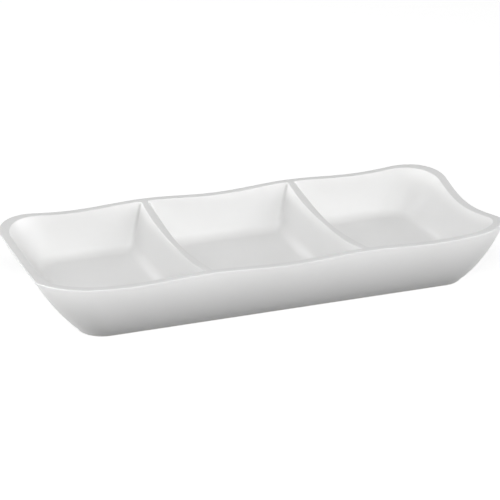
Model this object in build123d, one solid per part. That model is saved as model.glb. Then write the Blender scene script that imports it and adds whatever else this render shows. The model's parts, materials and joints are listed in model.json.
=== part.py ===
from build123d import *
import os
from math import cos, pi, sqrt

# Divided serving dish with three compartments, a wavy rim and a low foot ring.
# Millimetres. X runs along the dish, Y across it, Z up from the table.

# Outline of the rim, taken where the outer wall ends and the round of the lip begins
LENGTH = 257.2
WIDTH = 114.8
RIM_CORNER_RADIUS = 25.1

# Heights of the rim crest above the table
CORNER_HEIGHT = 32.1
DIVIDER_END_HEIGHT = 31.45
MIDDLE_DIP = 1.8
OUTER_DIP = 1.6
END_DIP = 6.35
END_DIP_SPREAD = 1.11
CORNER_SWEEP = 3.1

# Foot ring: its outline where it meets the shell, and how far it draws in towards the table
FOOT_LENGTH = 212.4
FOOT_WIDTH = 90.8
FOOT_CORNER_RADIUS = 12.5
FOOT_HEIGHT = 3.0
FOOT_TAPER = 0.5
FOOT_RING_WIDTH = 5.0
FOOT_EDGE_ROUND = 0.6

# Belly of the outer wall: two pull points, each as a share of the flare and of the rise
LOW_PULL_OUT = 0.357
LOW_PULL_UP = 0.157
HIGH_PULL_OUT = 0.825
HIGH_PULL_UP = 0.655

# Wall, floor and lip; the lip's round takes at most a share of the narrowest land
WALL = 4.25
FLOOR_HEIGHT = 7.2
FLOOR_ROUND = 7.0
LIP_ROUND = 1.5
LIP_ROUND_SHARE = 0.47

# Dividers
DIVIDER_X = 42.55
DIVIDER_CREST_HEIGHT = 25.75
DIVIDER_TOP_WIDTH = 3.2
DIVIDER_BASE_WIDTH = 20.0
CORNER_ROUND_TOP = 2.2
CORNER_ROUND_FLOOR = 6.5

# Where a divider leaves the wall and the floor
DIVIDER_ROOT = 3.5
DIVIDER_TOE = 0.6

HALF_L = LENGTH / 2
HALF_W = WIDTH / 2
RIM_LINE = CORNER_HEIGHT - LIP_ROUND
LAND_ROUND = min(LIP_ROUND, LIP_ROUND_SHARE * min(WALL, DIVIDER_TOP_WIDTH))
CLEAR = 5.0
WALL_STEPS = 5
POCKET_STEPS = 5


def smooth(t):
    t = min(1.0, max(0.0, t))
    return t * t * (3 - 2 * t)


def swell(t):
    return 0.5 * (1 + cos(pi * min(1.0, abs(t))))


def belly(v):
    a = 3 * v * (1 - v) ** 2
    b = 3 * v * v * (1 - v)
    c = v**3
    out = a * LOW_PULL_OUT + b * HIGH_PULL_OUT + c
    up = a * LOW_PULL_UP + b * HIGH_PULL_UP + c
    return out, up


def flare(z):
    """Share of the wall's flare reached at height z, straight on above the rim line."""
    rise = RIM_LINE - FOOT_HEIGHT
    if z >= RIM_LINE:
        slope = (1 - HIGH_PULL_OUT) / (1 - HIGH_PULL_UP)
        return 1 + slope * (z - RIM_LINE) / rise
    low, high = 0.0, 1.0
    for _ in range(40):
        v = (low + high) / 2
        if FOOT_HEIGHT + rise * belly(v)[1] < z:
            low = v
        else:
            high = v
    return belly(low)[0]


def outer_size(share):
    half_l = (FOOT_LENGTH + share * (LENGTH - FOOT_LENGTH)) / 2
    half_w = (FOOT_WIDTH + share * (WIDTH - FOOT_WIDTH)) / 2
    radius = FOOT_CORNER_RADIUS + share * (RIM_CORNER_RADIUS - FOOT_CORNER_RADIUS)
    return half_l, half_w, radius


def level_width(flare_width, z):
    """Width of the wall measured level, at a height where it leans out."""
    step = 0.1
    slope = flare_width * (flare(z + step) - flare(z - step)) / (2 * step)
    return WALL * sqrt(1 + slope**2)


# The wall keeps its thickness down to the lowest stretch of the lip
LEVEL_WALL_L = level_width((LENGTH - FOOT_LENGTH) / 2, RIM_LINE - END_DIP)
LEVEL_WALL_W = level_width((WIDTH - FOOT_WIDTH) / 2, RIM_LINE - MIDDLE_DIP)

# Centre line of the lip in plan
LIP_L = HALF_L - LEVEL_WALL_L / 2
LIP_W = HALF_W - LEVEL_WALL_W / 2
LIP_R = RIM_CORNER_RADIUS - 0.5 * WALL


def sweep_share(x):
    """Rise of the lip from a divider end to the corner."""
    return max(0.0, (abs(x) - DIVIDER_X) / (LIP_L - DIVIDER_X)) ** CORNER_SWEEP


def lip_drop(x, y):
    """Dips of the lip between the corners and the divider ends."""
    near_long = smooth((abs(y) - LIP_W + LIP_R) / (0.8 * LIP_R))
    near_end = smooth((abs(x) - LIP_L + LIP_R) / (0.8 * LIP_R))
    outer = (abs(x) - DIVIDER_X) / (LIP_L - DIVIDER_X)
    long_dip = MIDDLE_DIP * swell(x / DIVIDER_X) + OUTER_DIP * swell(2 * outer - 1)
    return long_dip * near_long + END_DIP * swell(y / (END_DIP_SPREAD * LIP_W)) * near_end


CORNER_INSET = LIP_R * (1 - cos(pi / 4))
CORNER_X = LIP_L - CORNER_INSET
CORNER_Y = LIP_W - CORNER_INSET
CORNER_RISE = CORNER_HEIGHT - DIVIDER_END_HEIGHT + lip_drop(CORNER_X, CORNER_Y)


def crest(x, y):
    """Height of the lip, and of the divider crests, over a point of the plan."""
    lift = CORNER_RISE * sweep_share(x) / sweep_share(CORNER_X)
    reach = LIP_L - LIP_R
    inner = smooth(1.4 * (reach - abs(x)) / (reach - DIVIDER_X))
    across = min(1.0, abs(y) / (LIP_W - LEVEL_WALL_W / 2))
    sag = (DIVIDER_END_HEIGHT - DIVIDER_CREST_HEIGHT) * (1 - across**2) * inner
    return DIVIDER_END_HEIGHT + lift - lip_drop(x, y) - sag


def level(shape, z):
    return Plane.XY.offset(z) * shape


def pocket_outline(x0, x1, half_w, bow0, bow1, r0, r1):
    """Compartment outline: straight along the walls, bowed along a divider."""
    with BuildLine() as line:
        Line((x0 + r0, -half_w), (x1 - r1, -half_w))
        CenterArc((x1 - r1, r1 - half_w), r1, -90, 90)
        Spline((x1, r1 - half_w), (x1 + bow1, 0), (x1, half_w - r1), tangents=((0, 1), (0, 1)))
        CenterArc((x1 - r1, half_w - r1), r1, 0, 90)
        Line((x1 - r1, half_w), (x0 + r0, half_w))
        CenterArc((x0 + r0, half_w - r0), r0, 90, 90)
        Spline((x0, half_w - r0), (x0 - bow0, 0), (x0, r0 - half_w), tangents=((0, -1), (0, -1)))
        CenterArc((x0 + r0, r0 - half_w), r0, 180, 90)
    return make_face(line.line)


def divider_half(z, top):
    share = (z - FLOOR_HEIGHT) / (top - FLOOR_HEIGHT)
    return DIVIDER_BASE_WIDTH / 2 + share * (DIVIDER_TOP_WIDTH - DIVIDER_BASE_WIDTH) / 2


def pocket(middle):
    top = CORNER_HEIGHT + CLEAR
    rows = []
    for k in range(POCKET_STEPS):
        share = k / (POCKET_STEPS - 1)
        z = FLOOR_HEIGHT + share * (top - FLOOR_HEIGHT)
        half_l, half_w, radius = outer_size(flare(z))
        half_l -= LEVEL_WALL_L
        half_w -= LEVEL_WALL_W
        radius -= 0.6 * WALL
        at_end = divider_half(min(z, DIVIDER_END_HEIGHT), DIVIDER_END_HEIGHT)
        bow = at_end - divider_half(min(z, DIVIDER_END_HEIGHT), DIVIDER_CREST_HEIGHT)
        corner = CORNER_ROUND_FLOOR + share * (CORNER_ROUND_TOP - CORNER_ROUND_FLOOR)
        if middle:
            outline = pocket_outline(at_end - DIVIDER_X, DIVIDER_X - at_end, half_w, bow, bow, corner, corner)
        else:
            outline = pocket_outline(DIVIDER_X + at_end, half_l, half_w, bow, 0.0, corner, radius)
        rows.append(level(outline, z))
    solid = loft(rows)
    floor = solid.faces().sort_by(Axis.Z)[0]
    return fillet(floor.edges(), FLOOR_ROUND)


# Outer form, from the foot to above the rim
rows = []
for k in range(WALL_STEPS):
    out, up = belly(k / (WALL_STEPS - 1))
    half_l, half_w, radius = outer_size(out)
    z = FOOT_HEIGHT + up * (RIM_LINE - FOOT_HEIGHT)
    rows.append(level(RectangleRounded(2 * half_l, 2 * half_w, radius), z))
half_l, half_w, radius = outer_size(flare(CORNER_HEIGHT + CLEAR))
rows.append(level(RectangleRounded(2 * half_l, 2 * half_w, radius), CORNER_HEIGHT + CLEAR))
dish = loft(rows)

# The wavy lip line, cut through the whole form
columns, lines = 49, 25
reach_l, reach_w = HALF_L + CLEAR, HALF_W + CLEAR
grid = []
for j in range(lines):
    y = reach_w * (2 * j / (lines - 1) - 1)
    row = []
    for i in range(columns):
        x = reach_l * (2 * i / (columns - 1) - 1)
        row.append(Vector(x, y, crest(x, y)))
    grid.append(row)
lip_surface = Face.make_surface_from_array_of_points(grid, tol=0.02)
dish -= extrude(lip_surface, amount=CORNER_HEIGHT, dir=(0, 0, 1))

# Three compartments
right_pocket = pocket(False)
dish -= pocket(True)
dish -= right_pocket
dish -= right_pocket.mirror(Plane.YZ)

# Round lip and crests
land = [f for f in dish.faces() if f.normal_at(f.center()).Z > 0.8 and f.center().Z > FLOOR_HEIGHT + 1]
dish = fillet(land[0].edges(), LAND_ROUND)

# Dividers leave the shell at a plane near the wall and at the floor
root_low = outer_size(flare(FLOOR_HEIGHT))[1] - WALL - DIVIDER_ROOT
root_high = outer_size(flare(DIVIDER_END_HEIGHT))[1] - WALL - DIVIDER_ROOT
rise = (root_high - root_low) / (DIVIDER_END_HEIGHT - FLOOR_HEIGHT)
root_top = root_low + rise * (CORNER_HEIGHT - FLOOR_HEIGHT)
profile = Polyline(
    (-root_low, FLOOR_HEIGHT),
    (root_low, FLOOR_HEIGHT),
    (root_top, CORNER_HEIGHT),
    (-root_top, CORNER_HEIGHT),
    close=True,
)
half_toe = DIVIDER_BASE_WIDTH / 2 + DIVIDER_TOE
block = extrude(Plane.YZ.offset(DIVIDER_X - half_toe) * make_face(profile), amount=2 * half_toe)
right_divider = dish & block
left_divider = right_divider.mirror(Plane.YZ)
dish_shell = dish - block - block.mirror(Plane.YZ)

# Foot ring under the flat of the shell
def foot_outline(inset, z):
    length = FOOT_LENGTH - 2 * inset
    width = FOOT_WIDTH - 2 * inset
    return level(RectangleRounded(length, width, FOOT_CORNER_RADIUS - inset), z)


foot_ring = loft([foot_outline(FOOT_TAPER, 0), foot_outline(0, FOOT_HEIGHT)])
inside = FOOT_TAPER + FOOT_RING_WIDTH
foot_ring -= loft([foot_outline(inside, 0), foot_outline(inside + FOOT_TAPER, FOOT_HEIGHT)])
foot_ring = fillet(foot_ring.faces().sort_by(Axis.Z)[0].edges(), FOOT_EDGE_ROUND)

os.makedirs("parts", exist_ok=True)
export_step(dish_shell, "parts/dish_shell.step")
export_step(left_divider, "parts/left_divider.step")
export_step(right_divider, "parts/right_divider.step")
export_step(foot_ring, "parts/foot_ring.step")
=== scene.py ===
import json
from math import cos, hypot, pi, radians, sin

import bpy
import numpy as np
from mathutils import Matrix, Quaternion, Vector

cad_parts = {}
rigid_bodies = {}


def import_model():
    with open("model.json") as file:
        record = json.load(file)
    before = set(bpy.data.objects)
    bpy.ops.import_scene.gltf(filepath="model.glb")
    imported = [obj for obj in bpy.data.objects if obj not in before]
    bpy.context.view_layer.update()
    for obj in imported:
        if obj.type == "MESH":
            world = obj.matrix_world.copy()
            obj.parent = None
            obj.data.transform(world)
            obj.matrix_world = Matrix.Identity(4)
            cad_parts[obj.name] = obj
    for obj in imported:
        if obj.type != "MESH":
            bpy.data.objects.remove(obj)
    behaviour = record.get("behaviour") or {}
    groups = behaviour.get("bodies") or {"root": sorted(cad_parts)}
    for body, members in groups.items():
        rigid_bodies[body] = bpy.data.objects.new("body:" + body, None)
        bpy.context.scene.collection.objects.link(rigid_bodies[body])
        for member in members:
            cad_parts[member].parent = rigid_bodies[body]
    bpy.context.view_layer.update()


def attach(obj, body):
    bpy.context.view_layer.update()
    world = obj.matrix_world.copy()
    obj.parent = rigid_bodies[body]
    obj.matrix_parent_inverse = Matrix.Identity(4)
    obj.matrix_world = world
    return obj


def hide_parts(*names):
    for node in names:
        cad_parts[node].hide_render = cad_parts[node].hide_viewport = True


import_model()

# Divided serving dish: three compartments, two dividers, a wavy lip and a low foot ring.
# Shapes are worked out in millimetres in the frame of the solids and placed in metres.
MM = 0.001

# Rim outline and the heights of its crest
LENGTH = 256.9
WIDTH = 114.4
RIM_CORNER_RADIUS = 25.1
CORNER_HEIGHT = 31.9
DIVIDER_END_HEIGHT = 31.45
MIDDLE_DIP = 1.8
OUTER_DIP = 1.6
END_DIP = 6.35
END_DIP_SPREAD = 1.11
CORNER_SWEEP = 2.6

# How the lip's forms fade out: a dip over this share of the corner radius, the crests' sag at this pace
DIP_FADE = 0.8
SAG_FADE = 1.4

# Foot ring
FOOT_LENGTH = 213.2
FOOT_WIDTH = 91.6
FOOT_CORNER_RADIUS = 14.0
FOOT_HEIGHT = 1.4
FOOT_TAPER = 1.0
FOOT_RING_WIDTH = 5.0
FOOT_EDGE_ROUND = 0.4

# Belly of the outer wall: two pull points, each as a share of the flare and of the rise
LOW_PULL_OUT = 0.33
LOW_PULL_UP = 0.215
HIGH_PULL_OUT = 0.825
HIGH_PULL_UP = 0.69

# The long sides are rounder outside and stand up straighter at the lip
SIDE_LOW_PULL_OUT = 0.42
SIDE_LOW_PULL_UP = 0.14
SIDE_HIGH_PULL_OUT = 0.94
SIDE_HIGH_PULL_UP = 0.57

# Wall, floor, lip and dividers; the inner corners are tighter by a share of the wall
WALL = 4.25
INNER_CORNER_SHARE = 0.6
FLOOR_HEIGHT = 7.2
FLOOR_ROUND = 7.0
LIP_ROUND = 0.45
DIVIDER_X = 42.55
DIVIDER_CREST_HEIGHT = 25.75
DIVIDER_TOP_WIDTH = 3.2
DIVIDER_BASE_WIDTH = 20.0
CORNER_ROUND_TOP = 1.2
CORNER_ROUND_FLOOR = 3.0
CORNER_ROUND_REACH = 29.9
FLOOR_CORNER = 2.0

# Steps of the mesh along each stretch
MIDDLE_STEPS = 30
OUTER_STEPS = 22
ARC_STEPS = 16
END_STEPS = 24
DIVIDER_STEPS = 36
JUNCTION_STEPS = 5
LIP_STEPS = 7
WALL_STEPS = 14
FLOOR_ROUND_STEPS = 8
BELLY_STEPS = 20
FOOT_ROUND_STEPS = 5

# How finely slopes are measured and curves are solved
WIDTH_STEP = 0.1
LEAN_STEP = 0.2
CREST_STEP = 0.5
CREST_PASSES = 20
FLOOR_PASSES = 30
BELLY_SAMPLES = 401

# Digits to which points of the plan, and of the mesh, count as the same
PLAN_DIGITS = 6
POINT_DIGITS = 4

# Values that follow from the sizes above
RIM_LINE = CORNER_HEIGHT - LIP_ROUND
RISE = RIM_LINE - FOOT_HEIGHT


def smooth(t):
    """Step from 0 to 1 with level ends."""
    t = np.clip(t, 0.0, 1.0)
    return t * t * (3 - 2 * t)


def swell(t):
    """1 at 0, falling smoothly to 0 at -1 and at 1."""
    return 0.5 * (1 + np.cos(pi * np.minimum(1.0, np.abs(t))))


def bezier(v, low, high):
    """Cubic that runs from 0 to 1 past these two pulls."""
    return 3 * v * (1 - v) ** 2 * low + 3 * v * v * (1 - v) * high + v**3


END_BELLY = (LOW_PULL_OUT, LOW_PULL_UP), (HIGH_PULL_OUT, HIGH_PULL_UP)
SIDE_BELLY = (SIDE_LOW_PULL_OUT, SIDE_LOW_PULL_UP), (SIDE_HIGH_PULL_OUT, SIDE_HIGH_PULL_UP)
BELLY_V = np.linspace(0, 1, BELLY_SAMPLES)


def flare(z, pulls=END_BELLY):
    """Share of the wall's flare reached at height z, straight on above the rim line."""
    (low_out, low_up), (high_out, high_up) = pulls
    share = (z - FOOT_HEIGHT) / RISE
    below = np.interp(share, bezier(BELLY_V, low_up, high_up), bezier(BELLY_V, low_out, high_out))
    return np.where(share < 1, below, 1 + (1 - high_out) / (1 - high_up) * (share - 1))


def level_width(flare_width, z):
    """Width of the wall measured level, at a height where it leans out."""
    gain = flare(z + WIDTH_STEP) - flare(z - WIDTH_STEP)
    return WALL * hypot(1, flare_width * gain / (2 * WIDTH_STEP))


# The wall keeps its thickness down to the lowest stretch of the lip
LEVEL_WALL_L = level_width((LENGTH - FOOT_LENGTH) / 2, RIM_LINE - END_DIP)
LEVEL_WALL_W = level_width((WIDTH - FOOT_WIDTH) / 2, RIM_LINE - MIDDLE_DIP)

# Centre line of the lip in plan
LIP_L = LENGTH / 2 - LEVEL_WALL_L / 2
LIP_W = WIDTH / 2 - LEVEL_WALL_W / 2
LIP_R = RIM_CORNER_RADIUS - WALL / 2


def wall_size(end_share, side_share):
    """Half length, half width and corner radius at these shares of the flare."""
    half_l = (FOOT_LENGTH + end_share * (LENGTH - FOOT_LENGTH)) / 2
    half_w = (FOOT_WIDTH + side_share * (WIDTH - FOOT_WIDTH)) / 2
    radius = FOOT_CORNER_RADIUS + end_share * (RIM_CORNER_RADIUS - FOOT_CORNER_RADIUS)
    return half_l, half_w, radius


def outer_size(z):
    """Size of the outer wall, with its rounder long sides."""
    return wall_size(flare(z), flare(z, SIDE_BELLY))


def inner_size(z):
    """Size of the compartments' walls, before the wall's width is taken off."""
    return wall_size(flare(z), flare(z))


def sweep_share(x):
    """Rise of the lip from a divider end towards the corner, before it is scaled."""
    return np.maximum(0.0, (np.abs(x) - DIVIDER_X) / (LIP_L - DIVIDER_X)) ** CORNER_SWEEP


def lip_drop(x, y):
    """Dips of the lip between the corners and the divider ends."""
    near_long = smooth((np.abs(y) - LIP_W + LIP_R) / (DIP_FADE * LIP_R))
    near_end = smooth((np.abs(x) - LIP_L + LIP_R) / (DIP_FADE * LIP_R))
    outer = (np.abs(x) - DIVIDER_X) / (LIP_L - DIVIDER_X)
    long_dip = MIDDLE_DIP * swell(x / DIVIDER_X) + OUTER_DIP * swell(2 * outer - 1)
    return long_dip * near_long + END_DIP * swell(y / (END_DIP_SPREAD * LIP_W)) * near_end


CORNER_INSET = LIP_R * (1 - cos(pi / 4))
CORNER_X = LIP_L - CORNER_INSET
CORNER_Y = LIP_W - CORNER_INSET
CORNER_RISE = CORNER_HEIGHT - DIVIDER_END_HEIGHT + lip_drop(CORNER_X, CORNER_Y)


def crest(x, y):
    """Height of the lip, and of the divider crests, over a point of the plan."""
    lift = CORNER_RISE * sweep_share(x) / sweep_share(CORNER_X)
    reach = LIP_L - LIP_R
    inner = smooth(SAG_FADE * (reach - np.abs(x)) / (reach - DIVIDER_X))
    across = np.minimum(1.0, np.abs(y) / (LIP_W - LEVEL_WALL_W / 2))
    sag = (DIVIDER_END_HEIGHT - DIVIDER_CREST_HEIGHT) * (1 - across**2) * inner
    return DIVIDER_END_HEIGHT + lift - lip_drop(x, y) - sag


class Stations:
    """Columns of a ring round a rounded rectangle, anticlockwise seen from above.

    along runs 0 to 1 from the low-X to the high-X corner centres, across runs -1 to 1
    in Y, and out is the plan direction that the ring faces at the column.
    """

    def __init__(self):
        self.along, self.across, self.turn = [], [], []
        self.crest_x, self.crest_y = [], []

    def stretch(self, steps, along, across, turn, crest_x, crest_y):
        """Add columns from the first to the second of each pair, without the last."""
        for name, pair in zip(("along", "across", "turn"), (along, across, turn)):
            getattr(self, name).extend(np.linspace(*pair, steps, endpoint=False))
        share = np.linspace(0, 1, steps, endpoint=False)
        angle = np.radians(turn[0] + share * (turn[1] - turn[0]))
        self.crest_x.extend(crest_x(share, angle))
        self.crest_y.extend(crest_y(share, angle))

    def close(self):
        for name in ("along", "across", "turn", "crest_x", "crest_y"):
            setattr(self, name, np.array(getattr(self, name)))
        angle = np.radians(self.turn)
        self.out = np.stack([np.cos(angle), np.sin(angle)], -1).round(12)
        self.ridge = np.stack([self.crest_x, self.crest_y], -1)
        return self

    def ring(self, x0, x1, half_w, r0, r1, bow0=0.0, bow1=0.0):
        """Plan points of the ring with these sides, corner radii and bowed ends."""
        u, w = self.along, self.across
        radius = r0 + u * (r1 - r0)
        bow = (u * bow1 - (1 - u) * bow0) * (1 - 3 * w**2 + 2 * np.abs(w) ** 3)
        x = x0 + r0 + u * (x1 - r1 - x0 - r0) + radius * self.out[:, 0] + bow
        y = w * (half_w - radius) + radius * self.out[:, 1]
        return np.stack([x, y], -1)


def between(a, b):
    """Crest coordinate that runs evenly from a to b."""
    return lambda share, angle: a + share * (b - a)


def round_x(share, angle):
    """Crest X round a corner of the right end."""
    return LIP_L - LIP_R + LIP_R * np.cos(angle)


def round_y(sign):
    """Crest Y round the front (-1) or back (1) corner of the right end."""
    return lambda share, angle: sign * (LIP_W - LIP_R) + LIP_R * np.sin(angle)


# Where the divider crest and the lip run into each other
JOIN_X = DIVIDER_TOP_WIDTH / 2 + CORNER_ROUND_TOP
JOIN_Y = LEVEL_WALL_W / 2 + CORNER_ROUND_TOP
SIDE_X = LIP_L - LIP_R
SIDE_Y = LIP_W - LIP_R
ROOT_Y = LIP_W - JOIN_Y


def middle_stations():
    """Columns round the middle compartment, from the front end of the left divider."""
    s = Stations()
    inner, outer = DIVIDER_X - JOIN_X, DIVIDER_X
    for sign, along, turn in ((-1, (0, 1), 270), (1, (1, 0), 90)):
        a, b = along
        y = between(sign * LIP_W, sign * LIP_W)
        side = between(-sign * DIVIDER_X, -sign * DIVIDER_X)
        s.stretch(JUNCTION_STEPS, (a, a), (sign, sign), (turn - 45, turn),
                  between(sign * outer, sign * inner), y)
        s.stretch(MIDDLE_STEPS, along, (sign, sign), (turn, turn),
                  between(sign * inner, -sign * inner), y)
        s.stretch(JUNCTION_STEPS, (b, b), (sign, sign), (turn, turn + 45),
                  between(-sign * inner, -sign * outer), y)
        s.stretch(JUNCTION_STEPS, (b, b), (sign, sign), (turn + 45, turn + 90),
                  side, between(sign * LIP_W, sign * ROOT_Y))
        s.stretch(DIVIDER_STEPS, (b, b), (sign, -sign), (turn + 90, turn + 90),
                  side, between(sign * ROOT_Y, -sign * ROOT_Y))
        s.stretch(JUNCTION_STEPS, (b, b), (-sign, -sign), (turn + 90, turn + 135),
                  side, between(-sign * ROOT_Y, -sign * LIP_W))
    return s.close()


def outer_wall_stretches(s):
    """The lip from the front end of the right divider round to its back end."""
    near = DIVIDER_X + JOIN_X
    front, back = between(-LIP_W, -LIP_W), between(LIP_W, LIP_W)
    end = between(LIP_L, LIP_L)
    s.stretch(JUNCTION_STEPS, (0, 0), (-1, -1), (225, 270), between(DIVIDER_X, near), front)
    s.stretch(OUTER_STEPS, (0, 1), (-1, -1), (270, 270), between(near, SIDE_X), front)
    s.stretch(ARC_STEPS, (1, 1), (-1, -1), (270, 360), round_x, round_y(-1))
    s.stretch(END_STEPS, (1, 1), (-1, 1), (360, 360), end, between(-SIDE_Y, SIDE_Y))
    s.stretch(ARC_STEPS, (1, 1), (1, 1), (0, 90), round_x, round_y(1))
    s.stretch(OUTER_STEPS, (1, 0), (1, 1), (90, 90), between(SIDE_X, near), back)
    s.stretch(JUNCTION_STEPS, (0, 0), (1, 1), (90, 135), between(near, DIVIDER_X), back)


def right_stations():
    """Columns round the right compartment, from the front end of its divider."""
    s = Stations()
    outer_wall_stretches(s)
    side = between(DIVIDER_X, DIVIDER_X)
    s.stretch(JUNCTION_STEPS, (0, 0), (1, 1), (135, 180), side, between(LIP_W, ROOT_Y))
    s.stretch(DIVIDER_STEPS, (0, 0), (1, -1), (180, 180), side, between(ROOT_Y, -ROOT_Y))
    s.stretch(JUNCTION_STEPS, (0, 0), (-1, -1), (180, 225), side, between(-ROOT_Y, -LIP_W))
    return s.close()


def rim_stations(middle, right):
    """Columns all round the lip, at the crest points that the compartments use."""
    half = len(middle.along) // 2
    lip = 2 * JUNCTION_STEPS + MIDDLE_STEPS
    front = np.arange(lip)
    outer = np.arange(2 * (JUNCTION_STEPS + OUTER_STEPS + ARC_STEPS) + END_STEPS)
    back = half + front
    ridge = np.concatenate([middle.ridge[front], right.ridge[outer], middle.ridge[back], -right.ridge[outer]])
    s = Stations()
    s.crest_x, s.crest_y = ridge.T
    s.along = np.clip(s.crest_x / SIDE_X, -1, 1) / 2 + 0.5
    s.across = np.clip(s.crest_y / SIDE_Y, -1, 1)
    out_x = (s.crest_x - (2 * s.along - 1) * SIDE_X).round(9)
    out_y = (s.crest_y - s.across * SIDE_Y).round(9)
    s.turn = np.degrees(np.arctan2(out_y, out_x))
    return s.close()


def divider_half(z, top):
    """Half the divider's width at height z, where its crest stands at top."""
    share = (z - FLOOR_HEIGHT) / (top - FLOOR_HEIGHT)
    return DIVIDER_BASE_WIDTH / 2 + share * (DIVIDER_TOP_WIDTH - DIVIDER_BASE_WIDTH) / 2


def cavity(stations, middle):
    """Plan points of a compartment's wall as a function of a height for each column."""
    def at(z):
        half_l, half_w, radius = inner_size(z)
        half_l = half_l - LEVEL_WALL_L
        half_w = half_w - LEVEL_WALL_W
        radius = radius - INNER_CORNER_SHARE * WALL
        low = np.minimum(z, DIVIDER_END_HEIGHT)
        at_end = divider_half(low, DIVIDER_END_HEIGHT)
        bow = at_end - divider_half(low, DIVIDER_CREST_HEIGHT)
        share = (z - FLOOR_HEIGHT) / CORNER_ROUND_REACH
        corner = CORNER_ROUND_FLOOR + share * (CORNER_ROUND_TOP - CORNER_ROUND_FLOOR)
        if middle:
            reach = DIVIDER_X - at_end
            return stations.ring(-reach, reach, half_w, corner, corner, bow, bow)
        return stations.ring(DIVIDER_X + at_end, half_l, half_w, corner, radius, bow, 0.0)
    return at


def outside(stations):
    """Plan points of the outer wall as a function of a height for each column."""
    def at(z):
        half_l, half_w, radius = outer_size(z)
        return stations.ring(-half_l, half_l, half_w, radius, radius)
    return at


def lean(wall, out, z):
    """Angle by which the wall leans towards out as it rises."""
    gain = wall(z + LEAN_STEP) - wall(z - LEAN_STEP)
    return np.arctan((gain * out).sum(-1) / (2 * LEAN_STEP))


def lift(plan, z):
    """Points of the plan at height z."""
    return np.concatenate([plan, np.broadcast_to(z, plan.shape[:1])[:, None]], -1)


def lip_rows(wall, facing, lean_out):
    """Rows of the lip's round, from the land at its crest down to the wall.

    facing points from the lip into the open; lean_out is how far the wall leans that way.
    """
    z = np.full(len(facing), DIVIDER_END_HEIGHT)
    for _ in range(CREST_PASSES):
        plan = wall(z)
        z = crest(plan[:, 0], plan[:, 1])
    beta = lean_out(z - LIP_ROUND)
    ahead, behind = plan + CREST_STEP * facing, plan - CREST_STEP * facing
    gamma = np.arctan((crest(*ahead.T) - crest(*behind.T)) / (2 * CREST_STEP))
    side = -LIP_ROUND * (np.sin(beta) + np.cos(gamma)) / np.cos(beta + gamma)
    down = -LIP_ROUND * (np.sin(gamma) + np.cos(beta)) / np.cos(beta + gamma)
    rows = []
    for share in np.linspace(0, 1, LIP_STEPS + 1):
        angle = pi / 2 + gamma - share * (pi / 2 + gamma + beta)
        reach = side + LIP_ROUND * np.cos(angle)
        rows.append(lift(plan + reach[:, None] * facing, z + down + LIP_ROUND * np.sin(angle)))
    return rows


def floor_reach(size):
    """How far the flat floor reaches under a wall that stands at size(z), for the floor's round."""
    z = FLOOR_HEIGHT + FLOOR_ROUND
    for _ in range(FLOOR_PASSES):
        beta = np.arctan((size(z + LEAN_STEP) - size(z - LEAN_STEP)) / (2 * LEAN_STEP))
        z = FLOOR_HEIGHT + FLOOR_ROUND * (1 - np.sin(beta))
    return size(z) - FLOOR_ROUND * np.cos(beta)


def floor_ring(stations, middle):
    """Edge of the flat floor of a compartment."""
    half_l = floor_reach(lambda z: inner_size(z)[0] - LEVEL_WALL_L)
    half_w = floor_reach(lambda z: inner_size(z)[1] - LEVEL_WALL_W)
    radius = floor_reach(lambda z: inner_size(z)[2] - INNER_CORNER_SHARE * WALL)
    at_end = -floor_reach(lambda z: -divider_half(z, DIVIDER_END_HEIGHT))
    bow = at_end + floor_reach(lambda z: -divider_half(z, DIVIDER_CREST_HEIGHT))
    if middle:
        reach = DIVIDER_X - at_end
        return stations.ring(-reach, reach, half_w, FLOOR_CORNER, FLOOR_CORNER, bow, bow)
    return stations.ring(DIVIDER_X + at_end, half_l, half_w, FLOOR_CORNER, radius, bow, 0.0)


def compartment_rows(stations, middle, lip_line):
    """Rows of a compartment, from the crest line down to the edge of its floor."""
    wall = cavity(stations, middle)
    out = stations.out
    ridge = lift(stations.ridge, crest(*stations.ridge.T))
    for k, plan in enumerate(stations.ridge):
        ridge[k] = lip_line.get(tuple(plan.round(PLAN_DIGITS)), ridge[k])
    rows = [ridge] + lip_rows(wall, -out, lambda z: -lean(wall, out, z))
    top = rows[-1][:, 2]
    low = np.full(len(out), FLOOR_HEIGHT + FLOOR_ROUND)
    for _ in range(FLOOR_PASSES):
        beta = lean(wall, out, low)
        low = FLOOR_HEIGHT + FLOOR_ROUND * (1 - np.sin(beta))
    for share in np.linspace(0, 1, WALL_STEPS + 1)[1:]:
        z = top + share * (low - top)
        rows.append(lift(wall(z), z))
    high, level = wall(low), floor_ring(stations, middle)
    for share in np.linspace(0, 1, FLOOR_ROUND_STEPS + 1)[1:]:
        angle = -beta - share * (pi / 2 - beta)
        reach = np.cos(angle) / np.cos(beta)
        z = FLOOR_HEIGHT + FLOOR_ROUND * (1 + np.sin(angle))
        rows.append(lift(level + reach[:, None] * (high - level), z))
    return np.array(rows)


def outside_rows(stations):
    """Rows of the outer wall, from the lip down to the foot."""
    wall = outside(stations)
    rows = lip_rows(wall, stations.out, lambda z: lean(wall, stations.out, z))
    up = bezier(BELLY_V, SIDE_LOW_PULL_UP, SIDE_HIGH_PULL_UP)
    top = np.interp((rows[-1][:, 2] - FOOT_HEIGHT) / RISE, up, BELLY_V)
    for share in np.linspace(1, 0, BELLY_STEPS + 1)[1:]:
        z = FOOT_HEIGHT + RISE * bezier(top * share, SIDE_LOW_PULL_UP, SIDE_HIGH_PULL_UP)
        rows.append(lift(wall(z), z))
    return np.array(rows)


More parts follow.
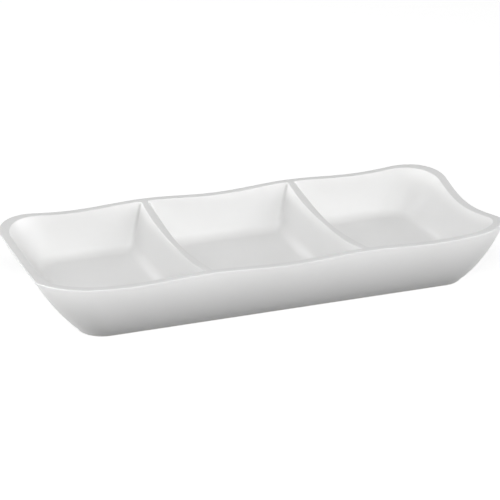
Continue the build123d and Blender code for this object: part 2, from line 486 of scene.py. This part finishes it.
class Skin:
    """Faces on shared points; smooth faces take the skin's own normals, the rest lie flat."""

    def __init__(self):
        self.points, self.index = [], {}
        self.smooth_faces, self.flat_faces = {}, {}
        # Painted shade of each point, from 0 for none to 1 for the darkest
        self.tone = {}

    def ids(self, row):
        """Numbers of the points of a row, shared where points fall together."""
        numbers = []
        for p in map(tuple, (np.round(row, POINT_DIGITS) + 0.0).tolist()):
            if p not in self.index:
                self.index[p] = len(self.points)
                self.points.append(p)
            numbers.append(self.index[p])
        return numbers

    def face(self, piece, numbers, flat=False):
        corners = list(dict.fromkeys(numbers))
        if len(corners) > 2:
            (self.flat_faces if flat else self.smooth_faces).setdefault(piece, []).append(corners)

    def shade(self, rows, tones):
        """Painted shade on these rows: 0 where there is none, 1 where it is darkest."""
        for row, tone in zip(rows, tones):
            for number, value in zip(self.ids(row), np.broadcast_to(tone, len(row))):
                self.tone[number] = max(self.tone.get(number, 0.0), float(value))

    def normals(self):
        points = np.array(self.points)
        total = np.zeros_like(points)
        for faces in self.smooth_faces.values():
            for ids in faces:
                ring = points[ids]
                normal = np.cross(ring, np.roll(ring, -1, 0)).sum(0)
                normal /= np.linalg.norm(normal)
                ahead = np.roll(ring, -1, 0) - ring
                behind = np.roll(ring, 1, 0) - ring
                lengths = np.linalg.norm(ahead, axis=1), np.linalg.norm(behind, axis=1)
                turn = (ahead * behind).sum(1) / lengths[0] / lengths[1]
                total[ids] += np.arccos(np.clip(turn, -1, 1))[:, None] * normal
        return total / np.maximum(np.linalg.norm(total, axis=1), 1e-9)[:, None]

    def build(self, piece, normals):
        """Mesh object of one piece, with its own copy of the points that it uses."""
        faces = self.smooth_faces.get(piece, []) + self.flat_faces.get(piece, [])
        smooth_count = len(self.smooth_faces.get(piece, []))
        used = sorted({i for ids in faces for i in ids})
        place = {i: k for k, i in enumerate(used)}
        mesh = bpy.data.meshes.new(piece)
        mesh.from_pydata([Vector(self.points[i]) * MM for i in used], [],
                         [[place[i] for i in ids] for ids in faces])
        # Each point's painted shade, which the glaze reads to darken its colour
        tone = mesh.attributes.new("tone", "FLOAT", "POINT")
        tone.data.foreach_set("value", [self.tone.get(i, 0.0) for i in used])
        mesh.shade_smooth()
        split = []
        for polygon in mesh.polygons:
            for i in polygon.vertices:
                flat = polygon.index >= smooth_count
                split.append(polygon.normal if flat else Vector(normals[used[i]]))
        mesh.normals_split_custom_set(split)
        mesh.validate()
        obj = bpy.data.objects.new(piece, mesh)
        bpy.context.scene.collection.objects.link(obj)
        return obj


def add_rows(skin, rows, owner, outward=False):
    """Quads between rows of a closed ring; owner names the piece of each column."""
    count = rows.shape[1]
    numbers = [skin.ids(row) for row in rows]
    for upper, lower in zip(numbers, numbers[1:]):
        for k in range(count):
            n = (k + 1) % count
            if outward:
                corners = (upper[k], lower[k], lower[n], upper[n])
            else:
                corners = (upper[k], upper[n], lower[n], lower[k])
            skin.face(owner[k], corners)


SHELL, LEFT, RIGHT, FOOT = "shell", "left_divider_wall", "right_divider_wall", "foot"
MIRROR = np.array([-1.0, 1.0, 1.0])

middle = middle_stations()
right = right_stations()
rim = rim_stations(middle, right)
outer_rows = outside_rows(rim)
lip_line = {tuple(plan.round(PLAN_DIGITS)): point for plan, point in zip(rim.ridge, outer_rows[0])}
middle_rows = compartment_rows(middle, True, lip_line)
right_rows = compartment_rows(right, False, lip_line)
left_rows = right_rows[:, ::-1] * MIRROR

# The columns that belong to each divider
half = len(middle.along) // 2
to_right = 3 * JUNCTION_STEPS + MIDDLE_STEPS
right_of_middle = np.arange(to_right, to_right + DIVIDER_STEPS + 1)
left_of_middle = half + right_of_middle
total = len(right.along)
from_right = total - JUNCTION_STEPS - DIVIDER_STEPS
divider_of_right = np.arange(from_right, from_right + DIVIDER_STEPS + 1)
divider_of_left = total - 1 - divider_of_right

skin = Skin()
owner = np.full(len(middle.along), SHELL, object)
owner[right_of_middle[:-1]] = RIGHT
owner[left_of_middle[:-1]] = LEFT
add_rows(skin, middle_rows, owner)
owner = np.full(total, SHELL, object)
owner[divider_of_right[:-1]] = RIGHT
add_rows(skin, right_rows, owner)
owner = np.full(total, SHELL, object)
owner[divider_of_left[1:]] = LEFT
add_rows(skin, left_rows, owner)
add_rows(skin, outer_rows, np.full(len(rim.along), SHELL, object), outward=True)
for rows in (middle_rows, right_rows, left_rows):
    skin.face(SHELL, skin.ids(rows[-1]))
skin.face(SHELL, skin.ids(outer_rows[-1][::-1]), flat=True)

# Painted shade: the lip and the crests, and the upright corners beside the dividers, are coloured greyer to
# stand in for the shade that falls there
LIP_PAINTED_SHADE = 0.3
CREASE_PAINTED_SHADE = 1.0
lip_painted_shades = [LIP_PAINTED_SHADE] + [LIP_PAINTED_SHADE * (1 - share**2) for share in np.linspace(0, 1, LIP_STEPS + 1)]


def compartment_painted_shades(stations, middle):
    """Painted shade of each row of a compartment, from the crest line down its wall."""
    # Darkest in the upright corners beside the dividers, as painted shade in the creases, fading down the
    # wall
    painted_crease_shade = CREASE_PAINTED_SHADE * np.abs(np.sin(np.radians(2 * stations.turn))) ** 2
    if not middle:
        painted_crease_shade = painted_crease_shade * (stations.along == 0)
    return lip_painted_shades + [painted_crease_shade * (1 - share) for share in np.linspace(0, 1, WALL_STEPS + 1)[:-1]]


skin.shade(outer_rows, lip_painted_shades)
skin.shade(middle_rows, compartment_painted_shades(middle, True))
skin.shade(right_rows, compartment_painted_shades(right, False))
skin.shade(left_rows[:, ::-1], compartment_painted_shades(right, False))


def part_divider(piece, a_rows, a_columns, b_rows, b_columns):
    """Close the divider and the shell where they meet: two ends and a bed."""
    a, b = a_rows[:, a_columns], b_rows[:, b_columns]
    strips = [(a[:, 0], b[:, 0]), (b[:, -1], a[:, -1]), (a[-1], b[-1])]
    for p, q in ((skin.ids(p), skin.ids(q)) for p, q in strips):
        for k in range(len(p) - 1):
            skin.face(piece, (p[k], p[k + 1], q[k + 1], q[k]), flat=True)
            skin.face(SHELL, (q[k], q[k + 1], p[k + 1], p[k]), flat=True)


part_divider(RIGHT, right_rows, divider_of_right, middle_rows, right_of_middle[::-1])
part_divider(LEFT, middle_rows, left_of_middle, left_rows, divider_of_left)


def rounded(before, corner, after, radius, steps):
    """Points of a round of this radius in the corner of a profile."""
    before, corner, after = (np.array(p, float) for p in (before, corner, after))
    a = (before - corner) / np.linalg.norm(before - corner)
    b = (after - corner) / np.linalg.norm(after - corner)
    half_angle = np.arccos(np.clip(a @ b, -1, 1)) / 2
    middle_line = (a + b) / np.linalg.norm(a + b)
    centre = corner + middle_line * radius / np.sin(half_angle)
    start = corner + a * radius / np.tan(half_angle) - centre
    end = corner + b * radius / np.tan(half_angle) - centre
    spread = pi - 2 * half_angle
    points = []
    for share in np.linspace(0, 1, steps + 1):
        arm = np.sin((1 - share) * spread) * start + np.sin(share * spread) * end
        points.append(centre + arm / np.sin(spread))
    return points


def foot_profile():
    """Foot ring section as inset from its top outline and height."""
    outer_top, outer_low = (0.0, FOOT_HEIGHT), (FOOT_TAPER, 0.0)
    inner_low = (FOOT_TAPER + FOOT_RING_WIDTH, 0.0)
    inner_top = (2 * FOOT_TAPER + FOOT_RING_WIDTH, FOOT_HEIGHT)
    outer_round = rounded(outer_top, outer_low, inner_low, FOOT_EDGE_ROUND, FOOT_ROUND_STEPS)
    inner_round = rounded(outer_low, inner_low, inner_top, FOOT_EDGE_ROUND, FOOT_ROUND_STEPS)
    return [outer_top] + outer_round + inner_round + [inner_top]


foot_rows = []
for inset, z in foot_profile():
    half_l, half_w = FOOT_LENGTH / 2 - inset, FOOT_WIDTH / 2 - inset
    radius = FOOT_CORNER_RADIUS - inset
    foot_rows.append(lift(rim.ring(-half_l, half_l, half_w, radius, radius), z))
foot_rows = np.array(foot_rows)
foot_skin = Skin()
add_rows(foot_skin, foot_rows, np.full(len(rim.along), FOOT, object), outward=True)
inner, outer = foot_skin.ids(foot_rows[-1]), foot_skin.ids(foot_rows[0])
for k in range(len(outer)):
    n = (k + 1) % len(outer)
    foot_skin.face(FOOT, (inner[k], outer[k], outer[n], inner[n]), flat=True)

skin_normals = skin.normals()
shell = skin.build(SHELL, skin_normals)
left_divider = skin.build(LEFT, skin_normals)
right_divider = skin.build(RIGHT, skin_normals)
foot = foot_skin.build(FOOT, foot_skin.normals())


class Nodes:
    """Short way to add and link the nodes of one tree."""

    def __init__(self, tree):
        self.tree = tree
        tree.nodes.clear()

    def add(self, kind, **values):
        node = self.tree.nodes.new(kind)
        for key, value in values.items():
            setattr(node, key, value)
        return node

    def link(self, source, target):
        self.tree.links.new(source, target)


def set_ramp(node, *stops):
    """Place and colour of the ramp's two stops."""
    for element, (position, colour) in zip(node.color_ramp.elements, stops):
        element.position = position
        element.color = (*colour, 1.0)


# Glaze: colour factor where the painted shade is darkest, patches per metre, and depth of the ripple in
# metres
PAINTED_SHADE_TONE = (0.7, 0.7, 0.7)
GLAZE_IOR = 1.5
POOLING_SCALE = 26.0
POOLING_DETAIL = 4.0
POOLING_RANGE = (0.3, 0.7)
GLOSS_SCALE = 90.0
GLOSS_DETAIL = 3.0
GLOSS_SPREAD = 0.04
RIPPLE_SCALE = 60.0
RIPPLE_DETAIL = 1.5
RIPPLE_DEPTH = 0.0004


def noise(n, where, scale, detail):
    """Smooth noise over the piece, as the value of each patch."""
    node = n.add("ShaderNodeTexNoise")
    node.inputs["Scale"].default_value = scale
    node.inputs["Detail"].default_value = detail
    n.link(where, node.inputs["Vector"])
    return node.outputs["Fac"]


def glaze(name, thick, thin, roughness, ripple):
    """White glaze: faint pooling of tone, painted shade on the lip, the crests and the divider corners, a
    slow ripple and an uneven gloss.
    """
    material = bpy.data.materials.new(name)
    material.use_nodes = True
    n = Nodes(material.node_tree)
    where = n.add("ShaderNodeTexCoord").outputs["Object"]
    shader = n.add("ShaderNodeBsdfPrincipled")
    output = n.add("ShaderNodeOutputMaterial")
    n.link(shader.outputs["BSDF"], output.inputs["Surface"])
    shader.inputs["IOR"].default_value = GLAZE_IOR

    pooling = noise(n, where, POOLING_SCALE, POOLING_DETAIL)
    tone = n.add("ShaderNodeValToRGB")
    set_ramp(tone, (POOLING_RANGE[0], thick), (POOLING_RANGE[1], thin))
    n.link(pooling, tone.inputs["Fac"])
    # Painted shade: the colour is multiplied darker where the points' tone attribute is high, on the lip, the
    # crests and the corners beside the dividers
    painted_shade_mask = n.add("ShaderNodeAttribute", attribute_name="tone")
    painted_shade_mix = n.add("ShaderNodeMix", data_type="RGBA", blend_type="MULTIPLY")
    painted_shade_mix.inputs["B"].default_value = (*PAINTED_SHADE_TONE, 1.0)
    n.link(painted_shade_mask.outputs["Fac"], painted_shade_mix.inputs["Factor"])
    n.link(tone.outputs["Color"], painted_shade_mix.inputs["A"])
    n.link(painted_shade_mix.outputs["Result"], shader.inputs["Base Color"])

    gloss = noise(n, where, GLOSS_SCALE, GLOSS_DETAIL)
    spread = n.add("ShaderNodeMapRange")
    spread.inputs["To Min"].default_value = roughness - GLOSS_SPREAD
    spread.inputs["To Max"].default_value = roughness + GLOSS_SPREAD
    n.link(gloss, spread.inputs["Value"])
    n.link(spread.outputs["Result"], shader.inputs["Roughness"])

    wave = noise(n, where, RIPPLE_SCALE, RIPPLE_DETAIL)
    bump = n.add("ShaderNodeBump")
    bump.inputs["Strength"].default_value = ripple
    bump.inputs["Distance"].default_value = RIPPLE_DEPTH
    n.link(wave, bump.inputs["Height"])
    n.link(bump.outputs["Normal"], shader.inputs["Normal"])
    return material


white_glaze = glaze(
    "white_glaze", thick=(0.84, 0.84, 0.835), thin=(0.86, 0.86, 0.857), roughness=0.36, ripple=0.08)
foot_glaze = glaze(
    "foot_glaze", thick=(0.8, 0.79, 0.77), thin=(0.84, 0.835, 0.82), roughness=0.42, ripple=0.15)

glazed = {"dish_shell": shell, "left_divider": left_divider, "right_divider": right_divider}
for node, piece in glazed.items():
    piece.data.materials.append(white_glaze)
    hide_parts(node)
    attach(piece, "root")
foot.data.materials.append(foot_glaze)
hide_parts("foot_ring")
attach(foot, "root")


def backdrop_rays(n):
    """1 for the rays that see the backdrop itself: camera, mirror and glass rays."""
    path = n.add("ShaderNodeLightPath")
    seen = path.outputs["Is Camera Ray"]
    for name in ("Is Glossy Ray", "Is Transmission Ray"):
        either = n.add("ShaderNodeMath", operation="MAXIMUM")
        n.link(seen, either.inputs[0])
        n.link(path.outputs[name], either.inputs[1])
        seen = either.outputs["Value"]
    return seen


# Table: white to the eye, with a soft shadow under the dish, but dull in the light that it gives back.
# It ends a short way in front of the dish, so that a soft box below its level shines past the edge.
TABLE_REACH = 3.0
TABLE_FRONT = -0.4
TABLE_GAP = 0.0001
TABLE_COLOUR = (0.05, 0.05, 0.05)
TABLE_SHADE = (0.5, 0.5, 0.5)
TABLE_GLOW = 0.72
mesh = bpy.data.meshes.new("table")
corners = [
    (-TABLE_REACH, TABLE_FRONT, -TABLE_GAP),
    (TABLE_REACH, TABLE_FRONT, -TABLE_GAP),
    (TABLE_REACH, TABLE_REACH, -TABLE_GAP),
    (-TABLE_REACH, TABLE_REACH, -TABLE_GAP),
]
mesh.from_pydata(corners, [], [(0, 1, 2, 3)])
table = bpy.data.objects.new("table", mesh)
bpy.context.scene.collection.objects.link(table)
material = bpy.data.materials.new("table")
material.use_nodes = True
n = Nodes(material.node_tree)
bounce = n.add("ShaderNodeBsdfDiffuse")
bounce.inputs["Color"].default_value = (*TABLE_COLOUR, 1.0)
shade = n.add("ShaderNodeBsdfDiffuse")
shade.inputs["Color"].default_value = (*TABLE_SHADE, 1.0)
glow = n.add("ShaderNodeEmission")
glow.inputs["Strength"].default_value = TABLE_GLOW
seen = n.add("ShaderNodeAddShader")
n.link(shade.outputs["BSDF"], seen.inputs[0])
n.link(glow.outputs["Emission"], seen.inputs[1])
blend = n.add("ShaderNodeMixShader")
n.link(backdrop_rays(n), blend.inputs["Fac"])
n.link(bounce.outputs["BSDF"], blend.inputs[1])
n.link(seen.outputs["Shader"], blend.inputs[2])
n.link(blend.outputs["Shader"], n.add("ShaderNodeOutputMaterial").inputs["Surface"])
mesh.materials.append(material)

# World: white to the eye, a faint even fill for everything it lights
FILL = 0.02
world = bpy.data.worlds.new("studio")
bpy.context.scene.world = world
world.use_nodes = True
n = Nodes(world.node_tree)
strength = n.add("ShaderNodeMapRange")
strength.inputs["To Min"].default_value = FILL
strength.inputs["To Max"].default_value = 1.0
n.link(backdrop_rays(n), strength.inputs["Value"])
sky = n.add("ShaderNodeBackground")
sky.inputs["Color"].default_value = (1.0, 1.0, 1.0, 1.0)
n.link(strength.outputs["Result"], sky.inputs["Strength"])
n.link(sky.outputs["Background"], n.add("ShaderNodeOutputWorld").inputs["Surface"])

# Soft boxes: degrees to the right of the front and above the table, width, height and radiant power
LAMP_DISTANCE = 1.5
LAMPS = {
    "key": (-20, 50, 1.6, 0.7, 9.4),
    "left": (-60, 35, 1.6, 0.7, 2.8),
    "front_right": (20, 28, 1.6, 0.7, 5.6),
    "right": (60, 20, 1.6, 0.7, 6.8),
    "back_left": (-140, 40, 1.4, 0.8, 7.8),
    "low_left": (-100, 6, 1.0, 0.3, 2.5),
    "left_strip": (-80, 2, 1.0, 0.1, 9.5),
    "right_strip": (75, 3, 1.0, 0.14, 5.5),
    "below_front": (-20, -5.5, 1.2, 0.3, 15.0),
}
for name, (azimuth, elevation, width, height, power) in LAMPS.items():
    lamp = bpy.data.lights.new(name, "AREA")
    lamp.shape = "RECTANGLE"
    lamp.size = width
    lamp.size_y = height
    lamp.energy = power
    turn, rise = radians(azimuth), radians(elevation)
    direction = Vector((sin(turn) * cos(rise), -cos(turn) * cos(rise), sin(rise)))
    obj = bpy.data.objects.new(name, lamp)
    obj.location = direction * LAMP_DISTANCE
    obj.rotation_euler = direction.to_track_quat("Z", "Y").to_euler()
    bpy.context.scene.collection.objects.link(obj)

# Camera at the photograph's place
EYE = Vector((-0.39753, -1.06559, 0.47178))
LOOK_AT = Vector((-0.00127, -0.00012, 0.01675))
ROLL = radians(-0.17)
LENS_MM = 166.48
SENSOR_MM = 36.0
camera_data = bpy.data.cameras.new("camera")
camera_data.sensor_width = SENSOR_MM
camera_data.lens = LENS_MM
camera = bpy.data.objects.new("camera", camera_data)
camera.location = EYE
level_view = (EYE - LOOK_AT).to_track_quat("Z", "Y")
camera.rotation_euler = (level_view @ Quaternion((0, 0, 1), ROLL)).to_euler()
bpy.context.scene.collection.objects.link(camera)
bpy.context.scene.camera = camera
bpy.context.scene.view_settings.view_transform = "Standard"
